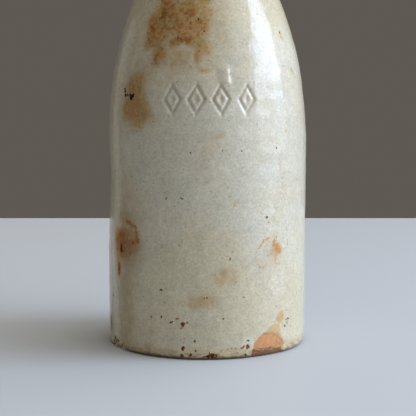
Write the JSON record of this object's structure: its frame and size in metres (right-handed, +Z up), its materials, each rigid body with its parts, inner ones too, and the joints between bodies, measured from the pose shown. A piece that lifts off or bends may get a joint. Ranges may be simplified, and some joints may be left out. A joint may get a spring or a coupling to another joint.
{
  "type": "stoneware bottle",
  "caption": "Salt-glazed stoneware beer bottle with a straight body, long sloping shoulder and collared lip, closed by a cork under a swinging wire bail.",
  "frame": {"origin": "centre of the flat foot, on the surface that the bottle stands on", "axes": "+Z up along the bottle's axis to the mouth, -Y the front, +X to the right seen from the front"},
  "size_m": [0.084, 0.084, 0.2565],
  "materials": {
    "salt_glazed_stoneware": "glossy warm grey salt glaze with rust stains, iron specks and chips down to orange clay",
    "cork": "matt natural cork with dark pores",
    "iron_wire": "dull, lightly rusted iron wire"
  },
  "bodies": {
    "bottle": {"stoneware_body": "salt_glazed_stoneware", "neck_wire": "iron_wire"},
    "cork": {"cork_stopper": "cork"},
    "bail": {"wire_bail": "iron_wire"}
  },
  "joints": [
    {"name": "cork_pull", "type": "slide", "parent": "bottle", "child": "cork", "axis": [0, 0, 1], "range_m": [0, 0.045]},
    {"name": "bail_swing", "type": "hinge", "parent": "bottle", "child": "bail", "pos_m": [0, 0, 0.2214], "axis": [1, 0, 0], "range_deg": [0, 300]}
  ]
}
